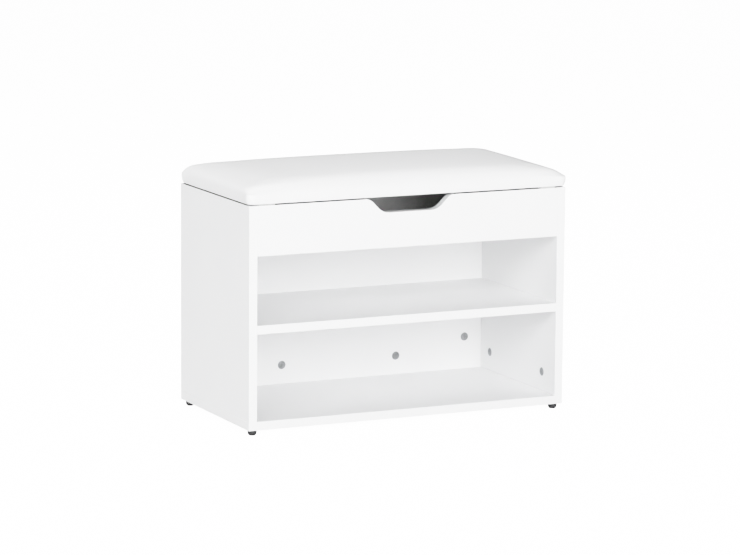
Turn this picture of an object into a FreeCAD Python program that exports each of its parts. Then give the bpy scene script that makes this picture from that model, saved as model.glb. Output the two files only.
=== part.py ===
import FreeCAD, Part

# Entryway bench: a flat-pack carcass of faced 15 mm board with two open shoe bays, a lidded
# compartment over them, and a padded seat that is the lid. The seat turns on two butt hinges at the
# back and is held by a friction stay at each end.
# Frame: +X to the right of somebody facing the bench, -Y to the front where they stand, +Z up, with
# the origin on the floor under the middle of the bench. Sizes are in millimetres.

import math
import os
from collections import defaultdict

V = FreeCAD.Vector
UP = V(0, 0, 1)
DOWN = V(0, 0, -1)
FRONT = V(0, -1, 0)
REAR = V(0, 1, 0)
SIDES = (("left", -1), ("right", 1))

# ---------------------------------------------------------------- overall sizes
WIDTH = 600.0
DEPTH = 300.0
BOARD = 15.0
EDGE_RADIUS = 0.5
FOOT_HEIGHT = 10.0
LOWER_BAY = 150.0
UPPER_BAY = 118.0
FRONT_HEIGHT = 86.0
LID_GAP = 2.0

# ---------------------------------------------------------------- seat
SEAT_HEIGHT = 44.0
SEAT_BOARD = 15.0
COVER = 1.0
SEAT_REAR_INSET = 3.0
SEAT_CORNER = 10.0
ROLL_WIDTH = 46.0
CROWN = 5.0
COVER_HEM = 28.0
DUST_COVER = 0.6
DUST_COVER_INSET = 5.0
DUST_COVER_REAR_INSET = 20.0
STAPLE_CROWN = 10.0
STAPLE_WIRE = 0.6
STAPLE_WIDTH = 0.96
STAPLE_CLEARANCE = 1.0
STAPLE_LEG = 6.0
STAPLE_PITCH = 48.0
STAPLE_INSET = 24.0

# ---------------------------------------------------------------- finger notch in the front
NOTCH_HALF_TOP = 76.5
NOTCH_DEPTH = 25.0
NOTCH_TOP_RADIUS = 20.0
NOTCH_BOTTOM_RADIUS = 28.0

# ---------------------------------------------------------------- cams, bolts and dowels
CAM_RADIUS = 7.5
CAM_DEPTH = 12.0
CAM_SETBACK = 34.0
CAM_CROSS = 9.0
CAM_SLOT = 1.6
CAM_TURN = 35.0
CAM_TURN_STEP = 23.0
BOLT_BORE = 4.0
BOLT_SHANK = 3.6
BOLT_NECK = 2.0
BOLT_HEAD = 3.3
BOLT_THREAD = 2.5
BOLT_THREAD_LENGTH = 11.0
DOWEL_RADIUS = 4.0
DOWEL_FACE_DEPTH = 11.0
DOWEL_EDGE_DEPTH = 19.0
SNUG = 0.05
END_PLAY = 0.5

# Where the fittings stand, from the middle of the depth, the middle of the width or a board's edge.
SIDE_CAM_Y = 100.0
SIDE_DOWEL_Y = 68.0
BACK_CAM_X = 112.5
BACK_DOWEL_X = 200.0
BACK_SIDE_CAM_RISE = 59.0
BACK_SIDE_CAM_DROP = 44.0
BACK_SIDE_DOWEL_RISE = 115.0
BACK_SIDE_DOWEL_DROP = 104.0
SHELF_CAM_INSET = 45.0
SHELF_DOWEL_INSET = 95.0
FRONT_CAM_RISE = 33.0
FRONT_DOWEL_RISE = 65.0
FRONT_FLOOR_DOWEL_X = 150.0

# ---------------------------------------------------------------- feet and lid pads
FOOT_RADIUS = 7.8
FOOT_FLAT = 5.0
FOOT_SKIRT = 2.5
FOOT_INSET_X = 12.0
FOOT_INSET_Y = 14.0
FOOT_BELLY = 0.8
FOOT_BELLY_DROP = 1.0
NAIL_RADIUS = 1.0
NAIL_HEAD = 3.2
NAIL_HEAD_HEIGHT = 1.2
NAIL_POINT = 2.0
NAIL_BURY = 13.0
PAD_LENGTH = 32.0
PAD_WIDTH = 9.0
PAD_INSET = 2.0
PAD_CORNER = 3.0

# ---------------------------------------------------------------- hinges
HINGE_X = 190.0
HINGE_LENGTH = 60.0
HINGE_KNUCKLES = 5
HINGE_LEAF = 0.9
HINGE_LEAF_REACH = 12.0
HINGE_LEAF_CORNER = 2.0
HINGE_BARREL = 2.6
HINGE_PIN = 1.5
HINGE_PIN_HEAD = 2.3
HINGE_PIN_HEAD_LENGTH = 0.9
HINGE_PIN_LEAD = 0.4
HINGE_SCREW_PITCH = 22.0
HINGE_SCREW_LENGTH = 14.0
HINGE_SCREW_REACH = 7.7
HINGE_SWING_ROOM = 0.5
RUNNING = 0.05
AIR = 0.15

# ---------------------------------------------------------------- lid stays
STAY_PIVOT = (35.0, -35.0)
LID_PIVOT = (110.0, -9.0)
STAY_METAL = 2.0
STAY_PLATE_LENGTH = 62.0
STAY_PLATE_HEIGHT = 32.0
STAY_PLATE_CORNER = 6.0
STAY_PLATE_SETBACK = 2.0
STAY_BOSS_RADIUS = 10.0
STAY_BOSS_HEIGHT = 4.0
STAY_BOSS_TAPER = 1.0
STAY_ARM_WIDTH = 14.0
STAY_LINK_WIDTH = 12.0
STAY_GAP = 0.3
FRICTION_PIN = 3.0
FRICTION_HEAD = 6.5
FRICTION_HEAD_HEIGHT = 2.6
FRICTION_HEAD_BEVEL = 0.6
FRICTION_CROSS = 8.4
FRICTION_CROSS_WIDTH = 1.4
FRICTION_CROSS_DEPTH = 1.3
RIVET_PIN = 2.5
RIVET_HEAD = 4.5
RIVET_HEAD_HEIGHT = 1.2
BRACKET_WIDTH = 24.0
BRACKET_FOOT = 19.0
BRACKET_SCREW_PITCH = 13.0
BRACKET_RIM = 1.5
STAY_SCREW_LENGTH = 12.0
STAY_SCREW_INSET = 8.0

# ---------------------------------------------------------------- screws
SCREW_HEAD = 2.9
SCREW_SHANK = 1.45
SCREW_CONE = 1.5
SCREW_RIM = 0.25
SCREW_POINT = 3.0
SCREW_CROSS = 3.6
SCREW_CROSS_WIDTH = 0.8
SCREW_CROSS_DEPTH = 1.1
SCREW_CLEARANCE = 0.02

# ---------------------------------------------------------------- levels and planes worked out
HALF_X = WIDTH / 2
HALF_Y = DEPTH / 2
INNER_X = HALF_X - BOARD
FRONT_BACK_Y = -HALF_Y + BOARD
BACK_FRONT_Y = HALF_Y - BOARD
BOTTOM_Z = FOOT_HEIGHT
BOTTOM_TOP_Z = BOTTOM_Z + BOARD
SHELF_Z = BOTTOM_TOP_Z + LOWER_BAY
SHELF_TOP_Z = SHELF_Z + BOARD
FLOOR_Z = SHELF_TOP_Z + UPPER_BAY
FLOOR_TOP_Z = FLOOR_Z + BOARD
CARCASS_TOP_Z = FLOOR_Z + FRONT_HEIGHT
SEAT_Z = CARCASS_TOP_Z + LID_GAP
SEAT_TOP_Z = SEAT_Z + SEAT_HEIGHT
SEAT_REAR_Y = HALF_Y - SEAT_REAR_INSET
SEAT_BOARD_Z = SEAT_Z + COVER
SEAT_BOARD_TOP_Z = SEAT_BOARD_Z + SEAT_BOARD
AXIS_Y = HALF_Y - HINGE_BARREL - AIR
AXIS_Z = CARCASS_TOP_Z + LID_GAP / 2

solids = defaultdict(list)
cuts = defaultdict(list)


# ---------------------------------------------------------------- shapes used throughout
def box(x, y, z):
    """A block between the two limits given on each axis."""
    return Part.makeBox(x[1] - x[0], y[1] - y[0], z[1] - z[0], V(x[0], y[0], z[0]))


def rod(radius, start, direction, length):
    return Part.makeCylinder(radius, length, start, direction)


def turned(profile, point, direction):
    """A solid of revolution: profile lists (radius, distance along direction from point)."""
    outline = [V(radius, 0, along) for radius, along in profile]
    face = Part.Face(Part.makePolygon(outline + outline[:1]))
    solid = face.revolve(V(0, 0, 0), UP, 360)
    return placed(solid, point, direction)


def placed(shape, point, direction):
    """The shape, made standing on the origin along +Z, moved so that it starts at point."""
    copy = shape.copy()
    copy.Placement = FreeCAD.Placement(point, FreeCAD.Rotation(UP, direction))
    return copy


def prism(outline, thickness):
    """A flat outline of edges drawn out by the thickness vector."""
    return Part.Face(Part.Wire(outline)).extrude(thickness)


def without(shape, cutters):
    return shape.cut(tuple(cutters)) if cutters else shape


def faced_board(x, y, z):
    """A board with its edges banded, which leaves every arris slightly rounded."""
    blank = box(x, y, z)
    return blank.makeFillet(EDGE_RADIUS, blank.Edges)


def edges_along(shape, axis):
    """The straight edges that run the way of an axis."""
    return [edge for edge in shape.Edges if abs(edge.tangentAt(edge.FirstParameter).dot(axis)) > 0.9]


def keep(name, *shapes):
    for shape in shapes:
        solids[name].extend(shape.Solids)


def cross(width, slot, depth, turn):
    """A cross recess in the XY plane, cutting down from z = 0."""
    arm = Part.makeBox(width, slot, depth, V(-width / 2, -slot / 2, -depth))
    other = arm.copy()
    other.rotate(V(0, 0, 0), UP, 90)
    both = arm.fuse(other)
    both.rotate(V(0, 0, 0), UP, turn)
    return both


# ---------------------------------------------------------------- knock-down fittings
def cam_joint(family, cam_board, bolt_board, point, into, face):
    """A bolt screwed into bolt_board at point, which a cam lock let into cam_board draws tight.

    into points from the joint into cam_board, and face from the bolt's axis to the cam's face. Each
    cam comes tight at a turn of its own.
    """
    centre = point + into * CAM_SETBACK
    mouth = centre + face * (BOARD / 2)
    radius = CAM_RADIUS - SNUG
    height = CAM_DEPTH - END_PLAY
    rim = 0.4
    disc = turned([(0, 0), (radius, 0), (radius, height - rim), (radius - rim, height), (0, height)],
                  mouth - face * height, face)
    turn = CAM_TURN + CAM_TURN_STEP * len(solids[family + "_cam_locks"])
    recess = placed(cross(CAM_CROSS, CAM_SLOT, CAM_SLOT, turn), mouth, face)
    head_reach = CAM_SETBACK + BOLT_HEAD / 2
    head_start = head_reach - BOLT_HEAD
    bolt_pocket = rod(BOLT_HEAD + 2 * SNUG, point, into, head_reach + SNUG)
    keep(family + "_cam_locks", without(disc, [recess, bolt_pocket]))

    collar_end = CAM_SETBACK - CAM_RADIUS - 2 * END_PLAY
    lead = 1.0
    keep(family + "_cam_bolts", turned(
        [(0, -BOLT_THREAD_LENGTH), (BOLT_THREAD - lead, -BOLT_THREAD_LENGTH),
         (BOLT_THREAD - SNUG, -BOLT_THREAD_LENGTH + lead), (BOLT_THREAD - SNUG, 0),
         (BOLT_SHANK, 0), (BOLT_SHANK, collar_end), (BOLT_NECK, collar_end + lead),
         (BOLT_NECK, head_start), (BOLT_HEAD, head_start + lead), (BOLT_HEAD, head_reach - lead),
         (BOLT_HEAD - lead, head_reach), (0, head_reach)], point, into))

    cuts[cam_board].append(rod(CAM_RADIUS, mouth - face * CAM_DEPTH, face, CAM_DEPTH + END_PLAY))
    cuts[cam_board].append(rod(BOLT_BORE, point - into * END_PLAY, into, head_reach + 2 * END_PLAY))
    cuts[bolt_board].append(rod(BOLT_THREAD, point, -into, BOLT_THREAD_LENGTH + END_PLAY))


def dowel_joint(family, edge_board, face_board, point, into):
    """A fluted beech dowel glued across a joint, from face_board into the edge of edge_board."""
    radius = DOWEL_RADIUS - SNUG
    low = -DOWEL_FACE_DEPTH + END_PLAY
    high = DOWEL_EDGE_DEPTH - END_PLAY
    lead = 1.0
    keep(family + "_dowels", turned(
        [(0, low), (radius - lead, low), (radius, low + lead), (radius, high - lead),
         (radius - lead, high), (0, high)], point, into))
    cuts[face_board].append(rod(DOWEL_RADIUS, point, -into, DOWEL_FACE_DEPTH))
    cuts[edge_board].append(rod(DOWEL_RADIUS, point - into * END_PLAY, into, DOWEL_EDGE_DEPTH + END_PLAY))


def screw_profile(length, grow=0.0):
    """Half outline of a countersunk wood screw, its head's face at 0 and its point at length."""
    head = SCREW_HEAD + grow
    shank = SCREW_SHANK + grow
    return [(0, 0), (head, 0), (head, SCREW_RIM), (shank, SCREW_RIM + SCREW_CONE),
            (shank, length - SCREW_POINT), (0, length + grow)]


def screw(name, boards, point, direction, length):
    """A wood screw with its head flush at point, and its countersunk hole in each of the boards."""
    recess = cross(SCREW_CROSS, SCREW_CROSS_WIDTH, SCREW_CROSS_DEPTH, CAM_TURN)
    recess.translate(UP * SCREW_CROSS_DEPTH)
    body = turned(screw_profile(length), point, direction)
    keep(name, without(body, [placed(recess, point, direction)]))
    for board in boards:
        cuts[board].append(turned(screw_profile(length, SCREW_CLEARANCE), point, direction))


# ---------------------------------------------------------------- carcass boards
def carcass_joints():
    """Cams, bolts and dowels between the boards, each with its holes."""
    mid = BOARD / 2
    back_y = HALF_Y - mid
    shelf_front_y = -HALF_Y
    for side, sign in SIDES:
        panel = side + "_side_panel"
        outward = V(sign, 0, 0)
        inward = -outward
        for y in (-SIDE_CAM_Y, SIDE_CAM_Y):
            foot = V(sign * (HALF_X - mid), y, BOTTOM_TOP_Z)
            cam_joint("side", panel, "bottom_panel", foot, UP, inward)
        for y in (-SIDE_DOWEL_Y, SIDE_DOWEL_Y):
            foot = V(sign * (HALF_X - mid), y, BOTTOM_TOP_Z)
            dowel_joint("side", panel, "bottom_panel", foot, UP)

        foot = V(sign * BACK_CAM_X, back_y, BOTTOM_TOP_Z)
        cam_joint("back", "back_panel", "bottom_panel", foot, UP, FRONT)
        foot = V(sign * BACK_DOWEL_X, back_y, BOTTOM_TOP_Z)
        dowel_joint("back", "back_panel", "bottom_panel", foot, UP)
        for z in (BOTTOM_TOP_Z + BACK_SIDE_CAM_RISE, CARCASS_TOP_Z - BACK_SIDE_CAM_DROP):
            cam_joint("back", "back_panel", panel, V(sign * INNER_X, back_y, z), inward, FRONT)
        for z in (BOTTOM_TOP_Z + BACK_SIDE_DOWEL_RISE, CARCASS_TOP_Z - BACK_SIDE_DOWEL_DROP):
            dowel_joint("back", "back_panel", panel, V(sign * INNER_X, back_y, z), inward)

        for family, board, z, front_y in (("shelf", "shelf", SHELF_Z + mid, shelf_front_y),
                                          ("floor", "compartment_floor", FLOOR_Z + mid, FRONT_BACK_Y)):
            for y in (front_y + SHELF_CAM_INSET, BACK_FRONT_Y - SHELF_CAM_INSET):
                cam_joint(family, board, panel, V(sign * INNER_X, y, z), inward, DOWN)
            for y in (front_y + SHELF_DOWEL_INSET, BACK_FRONT_Y - SHELF_DOWEL_INSET):
                dowel_joint(family, board, panel, V(sign * INNER_X, y, z), inward)

        front_y = -HALF_Y + mid
        cam_joint("front", "front_panel", panel,
                  V(sign * INNER_X, front_y, FLOOR_Z + FRONT_CAM_RISE), inward, REAR)
        dowel_joint("front", "front_panel", panel,
                    V(sign * INNER_X, front_y, FLOOR_Z + FRONT_DOWEL_RISE), inward)
        dowel_joint("front", "compartment_floor", "front_panel",
                    V(sign * FRONT_FLOOR_DOWEL_X, FRONT_BACK_Y, FLOOR_Z + mid), REAR)


def notch_cutter():
    """The finger notch: 45 degree flanks that roll over at the top and into a flat bottom."""
    top = CARCASS_TOP_Z
    bottom = top - NOTCH_DEPTH
    slope = math.radians(45)
    half_bottom = NOTCH_HALF_TOP - NOTCH_DEPTH / math.tan(slope)
    top_run = NOTCH_TOP_RADIUS * math.tan(slope / 2)
    bottom_run = NOTCH_BOTTOM_RADIUS * math.tan(slope / 2)
    over = 5.0
    y = -HALF_Y - over

    def flank(sign):
        """Points down one flank: start and end of each arc, with its middle."""
        step = V(-sign * math.cos(slope), 0, -math.sin(slope))
        lip = V(sign * NOTCH_HALF_TOP, y, top)
        root = V(sign * half_bottom, y, bottom)
        lip_start = lip + V(sign * top_run, 0, 0)
        lip_end = lip + step * top_run
        root_start = root - step * bottom_run
        root_end = root - V(sign * bottom_run, 0, 0)
        lip_middle = V(lip_start.x - sign * NOTCH_TOP_RADIUS * math.sin(slope / 2), y,
                       top - NOTCH_TOP_RADIUS * (1 - math.cos(slope / 2)))
        root_middle = V(root_end.x + sign * NOTCH_BOTTOM_RADIUS * math.sin(slope / 2), y,
                        bottom + NOTCH_BOTTOM_RADIUS * (1 - math.cos(slope / 2)))
        return lip_start, lip_middle, lip_end, root_start, root_middle, root_end

    left = flank(-1)
    right = flank(1)
    over_left = left[0] + UP * over
    over_right = right[0] + UP * over
    edges = [
        Part.LineSegment(over_left, left[0]), Part.Arc(left[0], left[1], left[2]),
        Part.LineSegment(left[2], left[3]), Part.Arc(left[3], left[4], left[5]),
        Part.LineSegment(left[5], right[5]), Part.Arc(right[5], right[4], right[3]),
        Part.LineSegment(right[3], right[2]), Part.Arc(right[2], right[1], right[0]),
        Part.LineSegment(right[0], over_right), Part.LineSegment(over_right, over_left),
    ]
    return prism([edge.toShape() for edge in edges], REAR * (BOARD + 2 * over))


def notched_front():
    """The compartment's front, with its faces' edges rounded right round the notch."""
    blank = box((-INNER_X, INNER_X), (-HALF_Y, FRONT_BACK_Y), (FLOOR_Z, CARCASS_TOP_Z))
    notched = blank.cut(notch_cutter()).removeSplitter()

    def in_a_face(edge):
        middle = edge.CenterOfMass.y
        return min(abs(middle + HALF_Y), abs(middle - FRONT_BACK_Y)) < 0.01

    return notched.makeFillet(EDGE_RADIUS, [edge for edge in notched.Edges if in_a_face(edge)])


def carcass_boards():
    inner = (-INNER_X, INNER_X)
    full_depth = (-HALF_Y, HALF_Y)
    upright = (BOTTOM_TOP_Z, CARCASS_TOP_Z)
    boards = {
        "bottom_panel": faced_board((-HALF_X, HALF_X), full_depth, (BOTTOM_Z, BOTTOM_TOP_Z)),
        "left_side_panel": faced_board((-HALF_X, -INNER_X), full_depth, upright),
        "right_side_panel": faced_board((INNER_X, HALF_X), full_depth, upright),
        "back_panel": faced_board(inner, (BACK_FRONT_Y, HALF_Y), upright),
        "shelf": faced_board(inner, (-HALF_Y, BACK_FRONT_Y), (SHELF_Z, SHELF_TOP_Z)),
        "compartment_floor": faced_board(inner, (FRONT_BACK_Y, BACK_FRONT_Y), (FLOOR_Z, FLOOR_TOP_Z)),
        "front_panel": notched_front(),
    }
    for name, board in boards.items():
        keep(name, without(board, cuts[name]))


# ---------------------------------------------------------------- feet and pads
def feet():
    """Four nail-on plastic glides, each a dome on its own nail."""
    for side, sign in SIDES:
        for end, y in (("front", -HALF_Y + FOOT_INSET_Y), ("rear", HALF_Y - FOOT_INSET_Y)):
            centre = V(sign * (HALF_X - FOOT_INSET_X), y, 0)
            neck_z = FOOT_HEIGHT - FOOT_SKIRT
            bulge = V((FOOT_FLAT + FOOT_RADIUS) / 2 + FOOT_BELLY, 0, neck_z / 2 - FOOT_BELLY_DROP)
            outline = [
                Part.LineSegment(V(0, 0, 0), V(FOOT_FLAT, 0, 0)),
                Part.Arc(V(FOOT_FLAT, 0, 0), bulge, V(FOOT_RADIUS, 0, neck_z)),
                Part.LineSegment(V(FOOT_RADIUS, 0, neck_z), V(FOOT_RADIUS, 0, FOOT_HEIGHT)),
                Part.LineSegment(V(FOOT_RADIUS, 0, FOOT_HEIGHT), V(0, 0, FOOT_HEIGHT)),
                Part.LineSegment(V(0, 0, FOOT_HEIGHT), V(0, 0, 0)),
            ]
            face = Part.Face(Part.Wire([edge.toShape() for edge in outline]))
            dome = face.revolve(V(0, 0, 0), UP, 360)
            dome.translate(centre)
            head_z = FOOT_HEIGHT / 2
            head_low = head_z - NAIL_HEAD_HEIGHT
            nail = [(0, head_low), (NAIL_HEAD, head_low), (NAIL_HEAD, head_z),
                    (NAIL_RADIUS, head_z), (NAIL_RADIUS, FOOT_HEIGHT + NAIL_BURY - NAIL_POINT),
                    (0, FOOT_HEIGHT + NAIL_BURY)]
            spike = turned(nail, centre, UP)
            keep("foot_" + end + "_" + side, dome.cut(spike))
            keep("foot_nails", spike)
            cuts["bottom_panel"].append(spike)


def lid_pads():
    """Two soft pads on the front's top edge that hold the seat level with the hinges."""
    for _, sign in SIDES:
        ends = sorted((sign * (INNER_X - PAD_INSET), sign * (INNER_X - PAD_INSET - PAD_LENGTH)))
        middle = -HALF_Y + BOARD / 2
        pad = box(ends, (middle - PAD_WIDTH / 2, middle + PAD_WIDTH / 2),
                  (CARCASS_TOP_Z, SEAT_Z - DUST_COVER - SNUG))
        keep("lid_pads", pad.makeFillet(PAD_CORNER, edges_along(pad, UP)))


# ---------------------------------------------------------------- hinges
def knuckle_spans(x, moving):
    """The stretches of the barrel that belong to one leaf, the end ones to the fixed leaf."""
    pitch = HINGE_LENGTH / HINGE_KNUCKLES
    start = x - HINGE_LENGTH / 2
    return [(start + n * pitch + AIR / 2, start + (n + 1) * pitch - AIR / 2)
            for n in range(HINGE_KNUCKLES) if n % 2 == int(moving)]


def along_axis(radius, span):
    return rod(radius, V(span[0], AXIS_Y, AXIS_Z), V(1, 0, 0), span[1] - span[0])


def hinge(side, sign):
    """A butt hinge shut between the back's top edge and the seat, its barrel let in flush."""
    x = sign * HINGE_X
    ends = (x - HINGE_LENGTH / 2, x + HINGE_LENGTH / 2)
    front_y = AXIS_Y - HINGE_LEAF_REACH
    screw_y = AXIS_Y - HINGE_SCREW_REACH
    leaves = (("fixed", False, (CARCASS_TOP_Z, CARCASS_TOP_Z + HINGE_LEAF), HINGE_PIN + SNUG / 2),
              ("moving", True, (SEAT_Z - HINGE_LEAF, SEAT_Z), HINGE_PIN + RUNNING))
    for kind, moving, z, bore in leaves:
        leaf = box(ends, (front_y, AXIS_Y), z)
        corners = [edge for edge in edges_along(leaf, UP) if edge.CenterOfMass.y < screw_y]
        leaf = leaf.makeFillet(HINGE_LEAF_CORNER, corners)
        for span in knuckle_spans(x, not moving):
            wide = (span[0] - AIR, span[1] + AIR)
            leaf = leaf.cut(along_axis(HINGE_BARREL + HINGE_SWING_ROOM, wide))
        for span in knuckle_spans(x, moving):
            leaf = leaf.fuse(along_axis(HINGE_BARREL, span))
        leaf = leaf.cut(along_axis(bore, ends)).removeSplitter()
        name = "hinge_" + kind + "_leaf_" + side
        for step in (-1, 0, 1):
            at = x + step * HINGE_SCREW_PITCH
            if moving:
                screw("hinge_seat_screws", (name, "seat_cover", "seat_board"),
                      V(at, screw_y, SEAT_Z - HINGE_LEAF), UP, HINGE_SCREW_LENGTH)
            else:
                screw("hinge_carcass_screws", (name, "back_panel"),
                      V(at, screw_y, CARCASS_TOP_Z + HINGE_LEAF), DOWN, HINGE_SCREW_LENGTH)
        keep(name, without(leaf, cuts[name]))
    length = HINGE_LENGTH + 2 * HINGE_PIN_HEAD_LENGTH
    keep("hinge_pin_" + side, turned(
        [(0, 0), (HINGE_PIN_HEAD - HINGE_PIN_LEAD, 0), (HINGE_PIN_HEAD, HINGE_PIN_LEAD),
         (HINGE_PIN_HEAD, HINGE_PIN_HEAD_LENGTH), (HINGE_PIN, HINGE_PIN_HEAD_LENGTH),
         (HINGE_PIN, length - HINGE_PIN_LEAD), (HINGE_PIN - HINGE_PIN_LEAD, length), (0, length)],
        V(ends[0] - HINGE_PIN_HEAD_LENGTH, AXIS_Y, AXIS_Z), V(1, 0, 0)))

    room = HINGE_BARREL + HINGE_SWING_ROOM
    let_in = (ends[0] - HINGE_PIN_HEAD_LENGTH - END_PLAY, ends[1] + HINGE_PIN_HEAD_LENGTH + END_PLAY)
    behind = (AXIS_Y - room, HALF_Y + END_PLAY)
    cuts["back_panel"].append(box(let_in, behind, (AXIS_Z - room, CARCASS_TOP_Z + END_PLAY)))
    for name in ("seat_cover", "seat_board"):
        cuts[name].append(box(let_in, behind, (SEAT_Z - END_PLAY, AXIS_Z + room)))


# ---------------------------------------------------------------- lid stays
def stay_point(reach, rise):
    """(y, z) of a point given by its reach forward of the hinge axis and its rise above it."""
    return AXIS_Y - reach, AXIS_Z + rise


def layer(sign, near, far):
    """Start x and thickness vector of a layer between two distances in from the side panel."""
    return sign * (INNER_X - near), V(-sign * (far - near), 0, 0)


def flat_bar(sign, near, far, a, b, width, holes):
    """A strip with round ends about the (y, z) points a and b, drilled at each of them."""
    x, thickness = layer(sign, near, far)
    start = V(x, a[0], a[1])
    end = V(x, b[0], b[1])
    along = (end - start).normalize()
    out = V(1, 0, 0).cross(along) * (width / 2)
    cap = along * (width / 2)
    edges = [
        Part.LineSegment(start + out, end + out), Part.Arc(end + out, end + cap, end - out),
        Part.LineSegment(end - out, start - out), Part.Arc(start - out, start - cap, start + out),
    ]
    bar = prism([edge.toShape() for edge in edges], thickness)
    return without(bar, [rod(radius, at, thickness, abs(thickness.x))
                         for radius, at in zip(holes, (start, end))])


def rivet(sign, near, far, at, pin, heads):
    """A pin between two distances in from the panel, with a domed head on each side."""
    x, thickness = layer(sign, near, far)
    direction = V(-sign, 0, 0)
    length = abs(thickness.x)
    radius, height = heads
    edge = radius - height / 2
    profile = [(0, -height), (edge, -height), (radius, -height / 2), (radius, 0), (pin, 0),
               (pin, length), (radius, length), (radius, length + height / 2),
               (edge, length + height), (0, length + height)]
    return turned(profile, V(x, at[0], at[1]), direction)


def stay(side, sign):
    """A friction stay: plate on the side panel, arm, link and seat bracket, in a parallelogram.

    The arm is as long as the hinge axis is from the seat's pivot and the link as long as the axis is
    from the plate's pivot, so the arm turns with the seat and the link keeps its slope.
    """
    plate_pivot = stay_point(*STAY_PIVOT)
    seat_pivot = stay_point(*LID_PIVOT)
    elbow = stay_point(STAY_PIVOT[0] + LID_PIVOT[0], STAY_PIVOT[1] + LID_PIVOT[1])
    inward = V(-sign, 0, 0)

    arm_near = STAY_METAL + STAY_BOSS_HEIGHT + STAY_GAP
    arm_far = arm_near + STAY_METAL
    link_near = arm_far + STAY_GAP
    link_far = link_near + STAY_METAL
    ear_near = link_far + STAY_GAP
    ear_far = ear_near + STAY_METAL

    x, thickness = layer(sign, 0, STAY_METAL)
    plate_y = BACK_FRONT_Y - STAY_PLATE_SETBACK - STAY_PLATE_LENGTH / 2
    plate_z = plate_pivot[1]
    far_x = x + thickness.x
    plate = box(sorted((x, far_x)), (plate_y - STAY_PLATE_LENGTH / 2, plate_y + STAY_PLATE_LENGTH / 2),
                (plate_z - STAY_PLATE_HEIGHT / 2, plate_z + STAY_PLATE_HEIGHT / 2))
    plate = plate.makeFillet(STAY_PLATE_CORNER, edges_along(plate, inward))
    boss = Part.makeCone(STAY_BOSS_RADIUS, STAY_BOSS_RADIUS - STAY_BOSS_TAPER, STAY_BOSS_HEIGHT,
                         V(far_x, plate_pivot[0], plate_pivot[1]), inward)
    bore = rod(FRICTION_PIN, V(x, plate_pivot[0], plate_pivot[1]), inward, STAY_METAL + STAY_BOSS_HEIGHT)
    name = "stay_plate_" + side
    screw_y = STAY_PLATE_LENGTH / 2 - STAY_SCREW_INSET
    screw_z = STAY_PLATE_HEIGHT / 2 - STAY_SCREW_INSET
    for turn_y, turn_z in ((1, 1), (1, -1), (-1, 1), (-1, -1)):
        at = V(far_x, plate_y + turn_y * screw_y, plate_z + turn_z * screw_z)
        screw("stay_plate_screws", (name, side + "_side_panel"), at, -inward, STAY_SCREW_LENGTH)
    keep(name, without(plate.fuse(boss), [bore] + cuts[name]).removeSplitter())

    keep("stay_arm_" + side, flat_bar(sign, arm_near, arm_far, plate_pivot, elbow, STAY_ARM_WIDTH,
                                      (FRICTION_PIN + RUNNING, RIVET_PIN)))
    keep("stay_link_" + side, flat_bar(sign, link_near, link_far, elbow, seat_pivot, STAY_LINK_WIDTH,
                                       (RIVET_PIN + RUNNING, RIVET_PIN + 2 * RUNNING)))

    head_x = layer(sign, arm_far + STAY_GAP, 0)[0]
    shaft = arm_far + STAY_GAP - END_PLAY
    friction = turned(
        [(0, -shaft), (FRICTION_PIN, -shaft), (FRICTION_PIN, 0), (FRICTION_HEAD, 0),
         (FRICTION_HEAD, FRICTION_HEAD_HEIGHT - FRICTION_HEAD_BEVEL),
         (FRICTION_HEAD - FRICTION_HEAD_BEVEL, FRICTION_HEAD_HEIGHT),
         (0, FRICTION_HEAD_HEIGHT)], V(head_x, plate_pivot[0], plate_pivot[1]), inward)
    slot = cross(FRICTION_CROSS, FRICTION_CROSS_WIDTH, FRICTION_CROSS_DEPTH, CAM_TURN)
    face = V(head_x - sign * FRICTION_HEAD_HEIGHT, plate_pivot[0], plate_pivot[1])
    keep("stay_friction_screw_" + side, friction.cut(placed(slot, face, inward)))

    heads = (RIVET_HEAD, RIVET_HEAD_HEIGHT)
    keep("stay_elbow_rivet_" + side, rivet(sign, arm_near - SNUG, link_far + SNUG, elbow, RIVET_PIN, heads))
    keep("stay_seat_rivet_" + side,
         rivet(sign, link_near - SNUG, ear_far + SNUG, seat_pivot, RIVET_PIN, heads))

    # Seat bracket: an ear that hangs beside the link from a foot screwed up into the seat board.
    foot_top = SEAT_Z - DUST_COVER
    y = (seat_pivot[0] - BRACKET_WIDTH / 2, seat_pivot[0] + BRACKET_WIDTH / 2)
    ear_x = sorted((sign * (INNER_X - ear_near), sign * (INNER_X - ear_far)))
    foot_x = sorted((sign * (INNER_X - ear_near), sign * (INNER_X - ear_near - BRACKET_FOOT)))
    hang = STAY_LINK_WIDTH / 2 + BRACKET_RIM
    ear = box(ear_x, (seat_pivot[0] - hang, seat_pivot[0] + hang), (seat_pivot[1], foot_top))
    tip = rod(hang, V(ear_x[0], *seat_pivot), V(1, 0, 0), STAY_METAL)
    foot = box(foot_x, y, (foot_top - STAY_METAL, foot_top))
    bracket = ear.fuse((tip, foot)).cut(rod(RIVET_PIN, V(ear_x[0], *seat_pivot), V(1, 0, 0), STAY_METAL))
    name = "stay_seat_bracket_" + side
    for step in (-1, 1):
        at = V(sign * (INNER_X - ear_far - (BRACKET_FOOT - STAY_METAL) / 2),
               seat_pivot[0] + step * BRACKET_SCREW_PITCH / 2, foot_top - STAY_METAL)
        screw("stay_bracket_screws", (name, "seat_dust_cover", "seat_board"), at, UP, STAY_SCREW_LENGTH)
    keep(name, without(bracket, cuts[name]).removeSplitter())


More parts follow.
